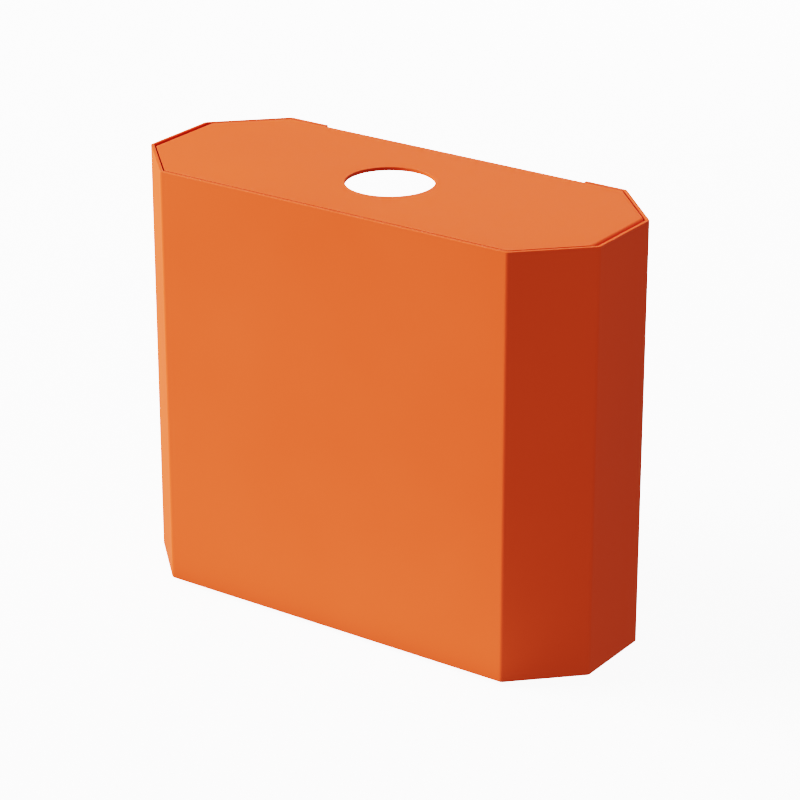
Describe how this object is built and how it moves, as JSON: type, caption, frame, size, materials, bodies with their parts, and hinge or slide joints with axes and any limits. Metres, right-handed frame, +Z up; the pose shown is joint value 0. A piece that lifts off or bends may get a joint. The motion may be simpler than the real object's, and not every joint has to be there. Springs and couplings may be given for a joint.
{
  "type": "biohazard waste bin",
  "caption": "Folded steel biohazard waste bin with chamfered corners and an open back, a lift-off lid with a round drop hole, and a lift-out inner bin on a wire bail.",
  "frame": {"origin": "on the bench, below the middle of the housing: the centre of the bounding box's underside", "axes": "+Z up, +X to the right seen from the front, along the width, and +Y backwards to the wall, so the front panel faces -Y"},
  "size_m": [0.3, 0.1216, 0.2535],
  "materials": {
    "orange_powder_coat": "satin orange powder coat with a fine orange-peel texture",
    "aluminium_angle": "mill-finish extruded angle",
    "white_polypropylene": "moulded white polypropylene with a fine matt texture",
    "stainless_wire": "drawn stainless wire",
    "zinc_plated_steel": "bright zinc plate",
    "black_rubber": "moulded black rubber, on the feet and the lid pads"
  },
  "bodies": {
    "housing": {"shell": "orange_powder_coat", "floor_plate": "orange_powder_coat", "rear_tie_bar": "orange_powder_coat", "left_lid_ledge": "aluminium_angle", "right_lid_ledge": "aluminium_angle", "left_lid_pad": "black_rubber", "right_lid_pad": "black_rubber", "floor_weld_studs": "zinc_plated_steel", "floor_flange_nuts": "zinc_plated_steel", "ledge_weld_studs": "zinc_plated_steel", "ledge_flange_nuts": "zinc_plated_steel", "tie_bar_weld_studs": "zinc_plated_steel", "tie_bar_flange_nuts": "zinc_plated_steel", "front_left_foot": "black_rubber", "front_right_foot": "black_rubber", "rear_left_foot": "black_rubber", "rear_right_foot": "black_rubber"},
    "bin": {"inner_bin": "white_polypropylene"},
    "bail": {"bail_handle": "stainless_wire"},
    "lid": {"lid": "orange_powder_coat"}
  },
  "joints": [
    {"name": "bin_lift", "type": "slide", "parent": "housing", "child": "bin", "axis": [0, 0, 1], "range_m": [0, 0.27]},
    {"name": "lid_lift", "type": "slide", "parent": "bin", "child": "lid", "axis": [0, 0, 1], "range_m": [0, 0.12]},
    {"name": "bail_swing", "type": "hinge", "parent": "bin", "child": "bail", "pos_m": [0, -0.0025, 0.192], "axis": [-1, 0, 0], "range_deg": [0, 236]}
  ]
}
